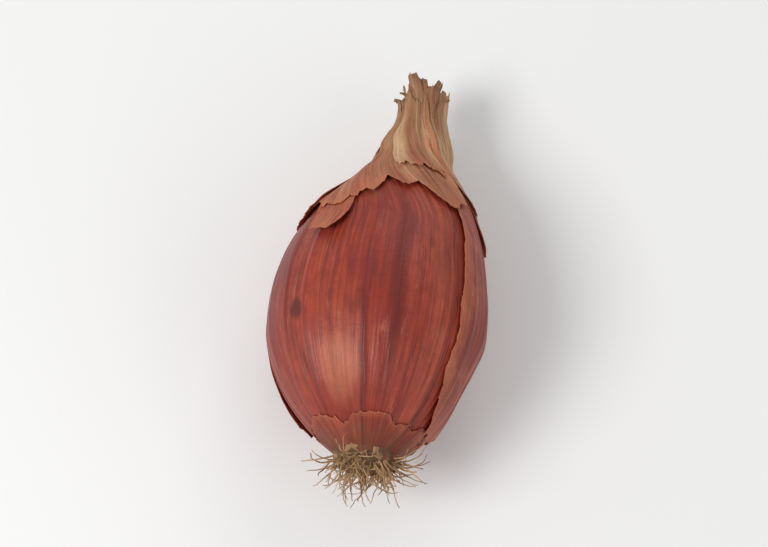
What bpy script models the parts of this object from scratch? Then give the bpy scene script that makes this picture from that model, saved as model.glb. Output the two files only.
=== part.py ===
"""A pink shallot lying on its side, as one solid: the veined bulb, its dry twisted neck and its root tuft.

The root end points along -Y and the neck along +Y. The bulb rests on a small flat spot on the plane z = 0.
"""

import math
import random

import bmesh
import bpy
from mathutils import Matrix, Vector

MM = 0.001

# Driving sizes
BULB_WIDTH = 29.4 * MM
BULB_THICKNESS = 27.5 * MM
BULB_LENGTH = 46.0 * MM
BELLY_AT = 19.0 * MM
NECK_LENGTH = 10.0 * MM
NECK_BASE_RADIUS = 5.0 * MM
NECK_RADIUS = 3.0 * MM
PLATE_RADIUS = 4.4 * MM

# How the bulb lies: where along its axis and how far to its side it touches down, and how far its neck dips
REST_ALONG = 22.4 * MM
REST_ASIDE = 0.7 * MM
AXIS_HEIGHT = 13.8 * MM
NECK_DIP = math.radians(6.5)
NECK_SWAY = 2.6 * MM
SWAY_FROM = 24.0 * MM

# The outline from root end to neck, as the powers that round off either end of the flesh
ROOT_END_ROUNDNESS = 0.62
SHOULDER_FULLNESS = 2.1
SHOULDER_ROUNDNESS = 0.78
RUN_TOGETHER = 2.1
NECK_TAPER = 0.7

# How far the cross-section leaves a plain oval
SIDE_BULGE = 0.035
BULGE_ANGLE = math.radians(165.0)
THREE_SIDED = 0.018
THREE_SIDED_ANGLE = math.radians(50.0)
FURROW_DEPTH = 0.055
FURROW_ANGLE = math.radians(52.0)
FURROW_WIDTH = math.radians(8.0)
FURROW_FROM = 2.0 * MM
FURROW_TO = 27.0 * MM
FLANK_DEPTH = 0.085
FLANK_ANGLE = math.radians(2.0)
FLANK_WIDTH = math.radians(36.0)
FLANK_FROM = 1.0 * MM
FLANK_TO = 10.0 * MM
DENT_SOFTNESS = 8.0 * MM

# Veins and pleats
VEINS = 22
VEIN_HEIGHT = 0.22 * MM
STEPS_PER_VEIN = 4
VEIN_PROFILE = (1.0, 0.3, 0.0, 0.3)
VEINS_RISE_OVER = 3.0 * MM
PLEATS = 7
PLEAT_DEPTH = 0.42 * MM
PLEATS_FROM = 35.0 * MM
PLEATS_RISE_OVER = 9.0 * MM
NECK_TWIST = math.radians(75.0)
TWIST_FROM = 30.0 * MM

# The torn outermost skin, as a step in the surface: a flap down one side, and a collar at either end.
# Waves in the flap's edge are size and reach, and the tongues of the collars size, count and start.
SKIN_STEP = 0.34 * MM
FLAP_ANGLE = math.radians(-16.5)
FLAP_HALF_ANGLE = math.radians(61.5)
FLAP_FROM = 2.0 * MM
FLAP_TO = 37.0 * MM
FLAP_WAVES = ((math.radians(4.0), 3.1 * MM), (math.radians(3.0), 1.3 * MM))
FLAP_EDGE = math.radians(3.0)
NECK_COLLAR_FROM = 36.0 * MM
ROOT_COLLAR_TO = 3.4 * MM
ROOT_TONGUES_SHARE = 0.4
TONGUES = ((2.4 * MM, 5, 0.6), (1.5 * MM, 11, 0.0))
TORN_EDGE = 1.2 * MM

# The mesh, and its two ends: the root plate's rings are height and scale, the pit's depth, scale and raggedness
BULB_RINGS = 26
NECK_RINGS = 6
PLATE_HEIGHT = 1.2 * MM
PLATE_PROFILE = ((1.0, 0.45), (1.0, 0.88), (0.7, 1.0))
TIP_RAGGEDNESS = 1.3 * MM
TIP_TEETH = ((1.0, 3), (0.6, 8))
TIP_PIT = 1.6 * MM
TIP_PROFILE = ((0.3, 0.72, 1.0), (1.0, 0.4, 0.0))

# Roots
ROOTS = 34
ROOT_RADIUS = 0.42 * MM
ROOT_TIP_SHARE = 0.55
ROOT_SHORTEST = 3.6 * MM
ROOT_LONGEST = 6.8 * MM
ROOT_SUNK = 1.3 * MM
ROOTS_OUT_TO = 0.86
ROOT_FORWARD = 0.4
ROOT_SPREAD = 0.15
ROOT_CURL = (math.radians(20.0), math.radians(95.0))
ROOT_STEPS = 5
ROOT_SIDES = 4
ROOT_SEED = 7

# Paper strips at the neck's tip, each as its angle, reach, width and curl
STRIP_THICKNESS = 0.65 * MM
STRIP_CUP = 0.45 * MM
STRIP_SUNK = 4.0 * MM
STRIP_ROOT_AT = 0.45
STRIP_TIP_AT = 0.8
STRIP_TIP_WIDTH = 0.4
STRIP_STEPS = 6
STRIPS = (
    (math.radians(25.0), 5.2 * MM, 3.4 * MM, 0.40),
    (math.radians(100.0), 4.0 * MM, 2.8 * MM, 0.62),
    (math.radians(190.0), 4.8 * MM, 3.2 * MM, 0.50),
    (math.radians(265.0), 2.8 * MM, 2.6 * MM, 0.25),
    (math.radians(325.0), 3.6 * MM, 2.6 * MM, 0.70),
)

# Flakes of dry skin on the shoulder, each as its angle, where its root and its free end are, and half its width
FLAKE_THICKNESS = 0.65 * MM
FLAKE_SUNK = 0.5 * MM
FLAKE_LIFT = 1.5 * MM
FLAKE_TIP_WIDTH = 0.3
FLAKE_STEPS = 6
FLAKES = (
    (math.radians(128.0), 36.0 * MM, 26.5 * MM, math.radians(17.0)),
    (math.radians(-8.0), 38.5 * MM, 30.5 * MM, math.radians(22.0)),
)

SKIN_COLOUR = (0.42, 0.135, 0.09, 1.0)
SKIN_ROUGHNESS = 0.42


def clear_scene():
    for obj in list(bpy.data.objects):
        bpy.data.objects.remove(obj, do_unlink=True)


def clamp(value):
    return max(0.0, min(1.0, value))


def smooth(value):
    value = clamp(value)
    return value * value * (3.0 - 2.0 * value)


def mix(a, b, share):
    return a + (b - a) * share


def belly_share(along):
    """The flesh's half width over its largest: 0 at the root plate and in the neck, 1 at the belly."""
    to_root = clamp(1.0 - along / BELLY_AT)
    to_neck = clamp((along - BELLY_AT) / (BULB_LENGTH - BELLY_AT))
    return (1.0 - to_root**2) ** ROOT_END_ROUNDNESS * (1.0 - to_neck**SHOULDER_FULLNESS) ** SHOULDER_ROUNDNESS


def outline(along):
    """Half the width at a distance along the axis: the flesh run together with the root plate and the neck."""
    flesh = BULB_WIDTH / 2 * belly_share(along)
    core = mix(PLATE_RADIUS, NECK_BASE_RADIUS, smooth(along / BULB_LENGTH))
    core -= (NECK_BASE_RADIUS - NECK_RADIUS) * smooth((along - BULB_LENGTH) / (NECK_TAPER * NECK_LENGTH))
    return (flesh**RUN_TOGETHER + core**RUN_TOGETHER) ** (1.0 / RUN_TOGETHER)


def window(value, low, high, soft):
    """1 between low and high, running out to 0 over the soft distance outside them."""
    return smooth((value - low) / soft + 1.0) * smooth((high - value) / soft + 1.0)


def angle_between(a, b):
    return (a - b + math.pi) % (2.0 * math.pi) - math.pi


def dent(angle, along, depth, at, width, low, high):
    """A long shallow dent centred on one angle, as deep as given between two distances along the axis."""
    off = angle_between(angle, at) / width
    return depth * math.exp(-off * off) * window(along, low, high, DENT_SOFTNESS)


def section(angle, along):
    """How the cross-section leaves a circle at an angle from +X towards +Z."""
    bulge = SIDE_BULGE * math.cos(angle - BULGE_ANGLE)
    corners = THREE_SIDED * math.cos(3.0 * (angle - THREE_SIDED_ANGLE))
    furrow = dent(angle, along, FURROW_DEPTH, FURROW_ANGLE, FURROW_WIDTH, FURROW_FROM, FURROW_TO)
    flank = dent(angle, along, FLANK_DEPTH, FLANK_ANGLE, FLANK_WIDTH, FLANK_FROM, FLANK_TO)
    return 1.0 + belly_share(along) * (bulge + corners - furrow - flank)


def skin_step(angle, along):
    """The height of the outermost dry skin where it is still on: a flap down one side, and both collars."""
    wander = sum(size * math.sin(along / reach) for size, reach in FLAP_WAVES)
    across = smooth((FLAP_HALF_ANGLE + wander - abs(angle_between(angle, FLAP_ANGLE))) / FLAP_EDGE)
    flap = across * window(along, FLAP_FROM, FLAP_TO, TORN_EDGE)
    tongues = sum(size * math.sin(count * angle + start) for size, count, start in TONGUES)
    neck_collar = smooth((along - NECK_COLLAR_FROM - tongues) / TORN_EDGE)
    root_collar = smooth((ROOT_COLLAR_TO + ROOT_TONGUES_SHARE * tongues - along) / TORN_EDGE)
    return SKIN_STEP * max(flap, neck_collar, root_collar) * smooth(along / TORN_EDGE)


def to_row(x, along, z):
    """A point given by its distance along the bulb's axis, turned and raised to where the bulb lies."""
    sway = NECK_SWAY * smooth((along - SWAY_FROM) / (BULB_LENGTH + NECK_LENGTH - SWAY_FROM))
    turned = Matrix.Rotation(-NECK_DIP, 3, "X") @ Vector((x + sway - REST_ASIDE, along - REST_ALONG, z))
    return turned + Vector((0.0, 0.0, AXIS_HEIGHT))


def skin_point(angle, along, height=0.0):
    """A point of the surface, or one above it, without veins and pleats."""
    share = belly_share(along)
    radius = outline(along) * section(angle, along) + height
    flattening = mix(1.0, BULB_THICKNESS / BULB_WIDTH, share)
    return to_row(radius * math.cos(angle), along, radius * flattening * math.sin(angle))


def ring(along, columns, scale=1.0, ragged=0.0):
    """One ring of surface points, its columns following the veins round the twisted neck."""
    points = []
    twist = NECK_TWIST * smooth((along - TWIST_FROM) / (BULB_LENGTH + NECK_LENGTH - TWIST_FROM))
    for column in range(columns):
        own = 2.0 * math.pi * column / columns
        angle = own + twist
        vein = VEIN_HEIGHT * VEIN_PROFILE[column % STEPS_PER_VEIN] * smooth(along / VEINS_RISE_OVER)
        pleat = PLEAT_DEPTH * math.cos(PLEATS * own) * smooth((along - PLEATS_FROM) / PLEATS_RISE_OVER)
        height = vein + pleat + skin_step(angle, along)
        if scale != 1.0:
            height += (scale - 1.0) * outline(along)
        torn = ragged * sum(size * math.sin(count * own) for size, count in TIP_TEETH)
        points.append(skin_point(angle, along + torn, height))
    return points


def bulb_rings(columns):
    """Every ring from the middle of the root plate to the pit in the neck's tip, root end first."""
    rings = [ring(-PLATE_HEIGHT * height, columns, scale=scale) for height, scale in PLATE_PROFILE]
    for step in range(1, BULB_RINGS + 1):
        share = 0.5 - 0.5 * math.cos(math.pi * step / BULB_RINGS)
        rings.append(ring(BULB_LENGTH * share, columns))
    tip = BULB_LENGTH + NECK_LENGTH
    for step in range(1, NECK_RINGS + 1):
        share = step / NECK_RINGS
        rings.append(ring(mix(BULB_LENGTH, tip, share), columns, ragged=TIP_RAGGEDNESS * share**3))
    for depth, scale, ragged in TIP_PROFILE:
        rings.append(ring(tip - TIP_PIT * depth, columns, scale=scale, ragged=TIP_RAGGEDNESS * ragged))
    return rings


def new_object(name, mesh_data):
    mesh = bpy.data.meshes.new(name)
    bmesh.ops.triangulate(mesh_data, faces=mesh_data.faces[:])
    bmesh.ops.recalc_face_normals(mesh_data, faces=mesh_data.faces[:])
    mesh_data.to_mesh(mesh)
    mesh_data.free()
    obj = bpy.data.objects.new(name, mesh)
    bpy.context.scene.collection.objects.link(obj)
    return obj


def bridge(mesh_data, rings):
    """Joins rings of points, all of one count, into a closed tube with flat ends."""
    loops = [[mesh_data.verts.new(point) for point in points] for points in rings]
    count = len(loops[0])
    for low, high in zip(loops, loops[1:]):
        for i in range(count):
            j = (i + 1) % count
            mesh_data.faces.new((low[i], low[j], high[j], high[i]))
    mesh_data.faces.new(loops[0][::-1])
    mesh_data.faces.new(loops[-1])


def make_bulb():
    """The bulb and neck as one closed surface, cut flat where it rests."""
    mesh_data = bmesh.new()
    bridge(mesh_data, bulb_rings(VEINS * STEPS_PER_VEIN))
    whole = mesh_data.verts[:] + mesh_data.edges[:] + mesh_data.faces[:]
    bmesh.ops.bisect_plane(mesh_data, geom=whole, plane_co=(0, 0, 0), plane_no=(0, 0, 1), clear_inner=True)
    open_edges = [edge for edge in mesh_data.edges if edge.is_boundary]
    bmesh.ops.holes_fill(mesh_data, edges=open_edges)
    return new_object("shallot", mesh_data)


def tube_rings(points, radii, sides):
    """Rings of points round a line, turned no more than the line itself turns."""
    rings = []
    side = Vector((0.0, 0.0, 1.0))
    for i, (point, radius) in enumerate(zip(points, radii)):
        ahead = (points[min(i + 1, len(points) - 1)] - points[max(i - 1, 0)]).normalized()
        side = (side - ahead * side.dot(ahead)).normalized()
        other = ahead.cross(side)
        turns = [2.0 * math.pi * k / sides for k in range(sides)]
        rings.append([point + radius * (side * math.cos(turn) + other * math.sin(turn)) for turn in turns])
    return rings


def root_line(draw, number):
    """The points of one root: out of the plate, spreading and curling."""
    golden_turn = math.pi * (3.0 - math.sqrt(5.0))
    turn = golden_turn * number
    out = math.sqrt((number + 0.5) / ROOTS)
    away = Vector((math.cos(turn), 0.0, math.sin(turn)))
    heading = away * mix(ROOT_SPREAD, 1.0, out) - Vector((0.0, mix(1.0, ROOT_FORWARD, out), 0.0))
    heading.normalize()
    curl_axis = heading.cross(Vector([draw.uniform(-1.0, 1.0) for _ in range(3)])).normalized()
    curl = draw.uniform(*ROOT_CURL) / ROOT_STEPS
    length = draw.uniform(ROOT_SHORTEST, ROOT_LONGEST) + ROOT_SUNK
    at = away * (PLATE_RADIUS * ROOTS_OUT_TO * out) - Vector((0.0, PLATE_HEIGHT, 0.0)) - heading * ROOT_SUNK
    line = [at.copy()]
    for _ in range(ROOT_STEPS):
        at += heading * (length / ROOT_STEPS)
        line.append(at.copy())
        heading = Matrix.Rotation(curl, 3, curl_axis) @ heading
    return [to_row(*point) for point in line]


def make_roots():
    draw = random.Random(ROOT_SEED)
    radii = [ROOT_RADIUS * mix(1.0, ROOT_TIP_SHARE, i / ROOT_STEPS) for i in range(ROOT_STEPS + 1)]
    made = []
    for number in range(ROOTS):
        mesh_data = bmesh.new()
        bridge(mesh_data, tube_rings(root_line(draw, number), radii, ROOT_SIDES))
        made.append(new_object(f"root_{number}", mesh_data))
    return made


def make_strip(number, angle, reach, width, curl):
    """One paper strip that comes out of the neck's tip and curls away from its axis."""
    away = Vector((math.cos(angle), 0.0, math.sin(angle)))
    beside = Vector((-math.sin(angle), 0.0, math.cos(angle)))
    start = BULB_LENGTH + NECK_LENGTH - STRIP_SUNK
    rings = []
    for i in range(STRIP_STEPS + 1):
        share = i / STRIP_STEPS
        out = mix(STRIP_ROOT_AT, STRIP_TIP_AT, share) * NECK_RADIUS + reach * curl * share**2.5
        along = start + (STRIP_SUNK + reach) * (share - curl / 4 * share**3)
        middle = Vector((0.0, along, 0.0)) + away * out
        narrow = mix(1.0, STRIP_TIP_WIDTH, share**2)
        edge = beside * width / 2 * narrow
        lean = (away - Vector((0.0, curl * share, 0.0))).normalized()
        thick = lean * STRIP_THICKNESS / 2
        across = [middle - edge, middle + lean * STRIP_CUP * narrow**2, middle + edge]
        corners = [point - thick for point in across] + [point + thick for point in reversed(across)]
        rings.append([to_row(*corner) for corner in corners])
    mesh_data = bmesh.new()
    bridge(mesh_data, rings)
    return new_object(f"strip_{number}", mesh_data)


def make_flake(number, angle, start, end, half_angle):
    """One flake of dry skin, rooted on the shoulder, whose free end stands off the bulb."""
    rings = []
    for i in range(FLAKE_STEPS + 1):
        share = i / FLAKE_STEPS
        along = mix(start, end, share)
        height = mix(-FLAKE_SUNK, FLAKE_LIFT, share**1.6)
        half = half_angle * mix(1.0, FLAKE_TIP_WIDTH, share**1.8)
        spread = [angle + half * side for side in (-1.0, -0.4, 0.4, 1.0)]
        under = [skin_point(a, along, height) for a in spread]
        over = [skin_point(a, along, height + FLAKE_THICKNESS) for a in reversed(spread)]
        rings.append(under + over)
    mesh_data = bmesh.new()
    bridge(mesh_data, rings)
    return new_object(f"flake_{number}", mesh_data)


def fuse(body, pieces):
    """Joins the small pieces to the body in one Boolean union, and removes them."""
    collection = bpy.data.collections.new("small_pieces")
    bpy.context.scene.collection.children.link(collection)
    for piece in pieces:
        bpy.context.scene.collection.objects.unlink(piece)
        collection.objects.link(piece)
    union = body.modifiers.new("small_pieces", "BOOLEAN")
    union.operation = "UNION"
    union.operand_type = "COLLECTION"
    union.collection = collection
    bpy.context.view_layer.objects.active = body
    bpy.ops.object.modifier_apply(modifier=union.name)
    for piece in pieces:
        bpy.data.objects.remove(piece, do_unlink=True)
    bpy.data.collections.remove(collection)


def skin_material():
    material = bpy.data.materials.new("pink_skin")
    material.use_nodes = True
    shader = material.node_tree.nodes["Principled BSDF"]
    shader.inputs["Base Color"].default_value = SKIN_COLOUR
    shader.inputs["Roughness"].default_value = SKIN_ROUGHNESS
    shader.inputs["Metallic"].default_value = 0.0
    return material


def main():
    clear_scene()
    shallot = make_bulb()
    pieces = make_roots()
    pieces += [make_strip(number, *strip) for number, strip in enumerate(STRIPS)]
    pieces += [make_flake(number, *flake) for number, flake in enumerate(FLAKES)]
    fuse(shallot, pieces)
    shallot.data.materials.append(skin_material())
    shallot.data.shade_smooth()
    shallot.data.set_sharp_from_angle(angle=math.radians(40.0))


main()
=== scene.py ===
"""A pink shallot lying on its side: its veined skin, torn dry skin, twisted neck and root tuft.

The file is laid out as an add-on and is run as a script. Every piece follows the one rule for the bulb's
surface, which is laid as a Geometry Nodes group and used by each piece's own tree. A place on the bulb is
given by its distance along the bulb's axis from the root plate, and by its turn round that axis from +X
towards +Z.
"""

import itertools
import math
from typing import NamedTuple

import bpy
from bpy.props import FloatProperty, FloatVectorProperty, IntProperty, PointerProperty
from bpy.types import Operator, Panel, PropertyGroup
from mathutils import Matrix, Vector


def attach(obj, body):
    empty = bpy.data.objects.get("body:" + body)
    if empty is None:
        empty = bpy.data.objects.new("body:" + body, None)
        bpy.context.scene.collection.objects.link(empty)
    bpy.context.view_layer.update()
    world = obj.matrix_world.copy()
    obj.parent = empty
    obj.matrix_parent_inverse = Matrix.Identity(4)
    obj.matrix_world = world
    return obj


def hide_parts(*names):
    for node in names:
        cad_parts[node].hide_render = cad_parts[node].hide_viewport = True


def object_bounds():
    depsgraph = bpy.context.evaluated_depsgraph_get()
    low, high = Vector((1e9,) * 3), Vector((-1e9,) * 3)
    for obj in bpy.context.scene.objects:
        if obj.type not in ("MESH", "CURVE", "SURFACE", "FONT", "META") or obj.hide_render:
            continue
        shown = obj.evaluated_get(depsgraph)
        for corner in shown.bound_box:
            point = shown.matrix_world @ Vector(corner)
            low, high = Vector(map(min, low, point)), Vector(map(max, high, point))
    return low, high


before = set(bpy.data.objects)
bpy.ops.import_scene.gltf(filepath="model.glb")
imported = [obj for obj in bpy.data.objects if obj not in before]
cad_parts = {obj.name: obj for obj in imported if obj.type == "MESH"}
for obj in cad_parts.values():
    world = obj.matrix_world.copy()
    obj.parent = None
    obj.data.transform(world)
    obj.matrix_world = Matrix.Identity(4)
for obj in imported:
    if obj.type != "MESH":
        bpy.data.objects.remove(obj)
CAD_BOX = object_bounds()

bl_info = {
    "name": "Pink Shallot",
    "version": (1, 0, 0),
    "blender": (4, 5, 0),
    "location": "3D View > Sidebar > Shallot",
    "description": "Makes a pink shallot's skins, neck and roots, and the stage they are shown on",
    "category": "Add Mesh",
}

MM = 0.001
NODE = "shallot"
BODY = "root"
FULL_TURN = 2.0 * math.pi
GOLDEN_TURN = math.pi * (3.0 - math.sqrt(5.0))
HERE = (0.0, 0.0, 0.0)

# The outline's powers, which round off either end of the flesh and let it run into the plate and the neck
ROOT_END_ROUNDNESS = 0.62
SHOULDER_FULLNESS = 2.1
SHOULDER_ROUNDNESS = 0.78
RUN_TOGETHER = 2.1

# The share of the neck over which it thins, and where along the bulb its bend aside begins
NECK_TAPER = 0.7
SWAY_FROM = 24.0 * MM

# Waves round the cross-section, as size, count and turn
SECTION_WAVES = ((0.035, 1, math.radians(165.0)), (0.018, 3, math.radians(50.0)))
# Dents in the flesh, as depth, turn, width, and where along the bulb they begin and end
DENTS = (
    (0.055, math.radians(52.0), math.radians(8.0), 2.0 * MM, 27.0 * MM),
    (0.085, math.radians(2.0), math.radians(36.0), 1.0 * MM, 10.0 * MM),
)
DENT_SOFTNESS = 8.0 * MM

# Where the veins, the pleats, the neck's twist and its wrinkles begin and where they are in full
VEINS_RISE_OVER = 3.0 * MM
PLEATS_FROM = 35.0 * MM
PLEATS_RISE_OVER = 9.0 * MM
TWIST_FROM = 30.0 * MM
SHRIVEL_FROM = 31.0 * MM
SHRIVEL_TO = 50.0 * MM

# The neck's tip: how deep its pit is, and the teeth round it as size and count
TIP_PIT = 1.6 * MM
TIP_TEETH = ((1.0, 3), (0.6, 8))

# How high the skin's broad swells, its fine wrinkles and the creases across its neck are
SWELL = 0.55 * MM
FINE_WRINKLE = 0.1 * MM
CREASE = 0.35 * MM

# The noises in the skin's relief, as fineness round the bulb, stretch along it and seed
WANDER = (1.7, 16.0 * MM, 1.0)
PATCHES = (5.0, 26.0 * MM, 2.0)
SWELLS = (2.6, 11.0 * MM, 3.0)
WRINKLES = (7.0, 9.0 * MM, 4.0)
CREASES = (2.0, 2.2 * MM, 5.0)

# The skin's rows: the share of them that closes either end, and how much closer they lie there
END_ROWS = 0.03
ROW_CROWDING = 0.6
WELD = 0.005 * MM

# The root plate's rows, as shares: where its front ends, its rim turns, it is seated and its back closes
PLATE_FRONT = 0.72
PLATE_RIM = 0.66
PLATE_SEATED = 0.9
PLATE_BACK = 0.86

# The plate's radius as built and the tuft's, as shares of its own, and how far its uneven rim is stretched
PLATE_SPREAD = 1.02
TUFT_SPREAD = 0.86
PLATE_FRINGE = 4.0 * MM

# Where along the bulb, in millimetres, the skin takes on the neck's colours, and then those of its brown end
NECK_COLOURS = (34.0, 49.5)
SCORCHED_COLOURS = (50.0, 64.0)

# The thickness of all dry paper, and the grid of one paper strip
PAPER_THICKNESS = 0.08 * MM
STRIP_COLUMNS = 7
STRIP_ROWS = 24

# How far each piece is kept over the floor, so that one skin still lies over another there
SKIN_LOWEST = 0.3 * MM
PAPER_LOWEST = 0.1 * MM
ROOTS_LOWEST = 0.6 * MM
CRUMBS_LOWEST = 0.5 * MM

CAMERA_DISTANCE = 3.4 * (CAD_BOX[1].y - CAD_BOX[0].y)
LOOKED_AT = (CAD_BOX[0] + CAD_BOX[1]) / 2.0
FLOOR_REACH = 1.5
WORLD_TINT = (0.95, 0.97, 1.0, 1.0)
WORLD_STRENGTH = 0.5


def colour(red, green, blue):
    """A colour given on a screen's scale, from 0 to 255, as the linear values that shaders take."""
    shares = (red / 255.0, green / 255.0, blue / 255.0)
    return tuple(((part + 0.055) / 1.055) ** 2.4 if part > 0.04045 else part / 12.92 for part in shares)


def opaque(tinted):
    return (*tinted, 1.0)


def length(name, description, millimetres):
    default = millimetres * MM
    return FloatProperty(
        name=name, description=description, default=default, precision=5, subtype="DISTANCE", unit="LENGTH"
    )


def turn(name, description, degrees):
    return FloatProperty(name=name, description=description, default=math.radians(degrees), subtype="ANGLE")


def tint(name, description, *screen_values):
    default = colour(*screen_values)
    return FloatVectorProperty(
        name=name, description=description, default=default, min=0.0, max=1.0, size=3, subtype="COLOR"
    )


class ShallotShape(PropertyGroup):
    """The bulb's own sizes and how it lies."""

    bulb_width: length("Bulb Width", "Largest width of the flesh", 29.4)
    bulb_thickness: length("Bulb Thickness", "Largest height of the flesh as it lies", 27.5)
    bulb_length: length("Bulb Length", "From the root plate to the foot of the neck", 46.0)
    belly_at: length("Belly At", "Where along the bulb it is widest", 19.0)
    neck_length: length("Neck Length", "From the foot of the neck to its tip", 10.0)
    neck_base_radius: length("Neck Base Radius", "Radius at the foot of the neck", 5.0)
    neck_radius: length("Neck Radius", "Radius at the tip of the neck", 3.0)
    plate_radius: length("Plate Radius", "Radius of the root plate", 4.4)
    plate_height: length("Plate Height", "How far the root plate stands out", 1.2)
    rest_along: length("Rest Along", "Where along the bulb it touches down", 22.4)
    rest_aside: length("Rest Aside", "How far to the side it touches down", 0.7)
    axis_height: length("Axis Height", "Height of the bulb's axis over the floor", 13.8)
    neck_dip: turn("Neck Dip", "How far the neck end dips", 6.5)
    neck_sway: length("Neck Sway", "How far the neck bends aside", 2.6)


class ShallotSkin(PropertyGroup):
    """The relief and the colours of the skins."""

    vein_count: IntProperty(name="Vein Count", description="Main veins round the bulb", default=22, min=6)
    vein_height: length("Vein Height", "How far a main vein stands out", 0.17)
    pleat_count: IntProperty(name="Pleat Count", description="Pleats round the neck", default=7, min=3)
    pleat_depth: length("Pleat Depth", "Half the depth of the neck's pleats", 0.42)
    shrivel: length("Shrivel", "Depth of the dry wrinkles in the neck", 1.1)
    neck_twist: turn("Neck Twist", "How far the neck is twisted", 75.0)
    tip_raggedness: length("Tip Raggedness", "How unevenly the neck's tip is torn", 1.3)
    light: tint("Light Skin", "Lightest stretches of the skin", 185, 82, 55)
    middle: tint("Middle Skin", "Most of the skin", 144, 45, 31)
    dark: tint("Dark Skin", "Darkest stretches of the skin", 97, 29, 21)
    vein: tint("Veins", "The veins", 76, 24, 22)
    mauve: tint("Mauve", "Where the skin is thin and the flesh shows", 134, 44, 45)
    paper: tint("Dry Skin", "The torn dry skin", 192, 114, 78)
    neck: tint("Neck", "The dry neck", 178, 128, 88)
    straw: tint("Straw", "Palest dry skin of the neck", 220, 186, 144)
    scorched: tint("Scorched", "Brown ends of the dry skin", 108, 66, 44)


class ShallotRoots(PropertyGroup):
    """The root tuft."""

    count: IntProperty(name="Root Count", description="Roots in the tuft", default=180, min=1)
    radius: length("Root Radius", "Radius of a root where it leaves the plate", 0.18)
    shortest: length("Shortest Root", "Length of the shortest root", 2.2)
    longest: length("Longest Root", "Length of the longest root", 6.9)
    seed: IntProperty(name="Root Seed", description="Changes the tuft's tangle", default=7)
    fibre: tint("Roots", "The dry roots", 200, 158, 112)
    plate: tint("Root Plate", "The corky root plate", 122, 88, 60)
    soil: tint("Soil", "Dry soil left among the roots", 92, 66, 47)


class ShallotStage(PropertyGroup):
    """The camera and the floor."""

    azimuth: turn("Camera Azimuth", "Camera's turn round the bulb; 0 looks along +Y", 6.0)
    elevation: turn("Camera Elevation", "Camera's height over the horizon", 72.0)
    distance: length("Camera Distance", "From the middle of the bulb", CAMERA_DISTANCE / MM)
    lens: FloatProperty(name="Lens", description="Focal length, in millimetres", default=75.0)
    floor: tint("Floor", "The plain floor", 236, 235, 233)


SETTINGS = {
    "shallot_shape": ShallotShape,
    "shallot_skin": ShallotSkin,
    "shallot_roots": ShallotRoots,
    "shallot_stage": ShallotStage,
}


def fields(group):
    """A property group's own fields, in the order in which its class lists them."""
    return [group.bl_rna.properties[name] for name in type(group).__annotations__]


def numbers_of(*groups):
    """The numbers in property groups, by the names that the trees' inputs have."""
    return {
        field.name: getattr(group, field.identifier)
        for group in groups
        for field in fields(group)
        if field.type in ("FLOAT", "INT") and not field.is_array
    }


def maths_method(operation, swapped=False):
    """A method that lays the maths node of that name for its own value and the others that it is given."""

    def method(self, *others):
        values = (*others, self) if swapped else (self, *others)
        return self.layout.maths(operation, *values)

    return method


class Wire:
    """A value on a node's output. Arithmetic on it lays maths nodes in the same tree."""

    def __init__(self, layout, socket):
        self.layout = layout
        self.socket = socket

    __add__ = maths_method("ADD")
    __radd__ = maths_method("ADD", swapped=True)
    __sub__ = maths_method("SUBTRACT")
    __rsub__ = maths_method("SUBTRACT", swapped=True)
    __mul__ = maths_method("MULTIPLY")
    __rmul__ = maths_method("MULTIPLY", swapped=True)
    __truediv__ = maths_method("DIVIDE")
    __pow__ = maths_method("POWER")
    __abs__ = maths_method("ABSOLUTE")
    sin = maths_method("SINE")
    cos = maths_method("COSINE")
    exp = maths_method("EXPONENT")
    floor = maths_method("FLOOR")
    rounded = maths_method("ROUND")
    at_least = maths_method("MAXIMUM")
    at_most = maths_method("MINIMUM")

    def wrapped(self):
        """A turn, as the one from half a turn back to half a turn ahead that points the same way."""
        return self.layout.maths("WRAP", self, math.pi, -math.pi)

    def clipped(self):
        return self.at_least(0.0).at_most(1.0)


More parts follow.
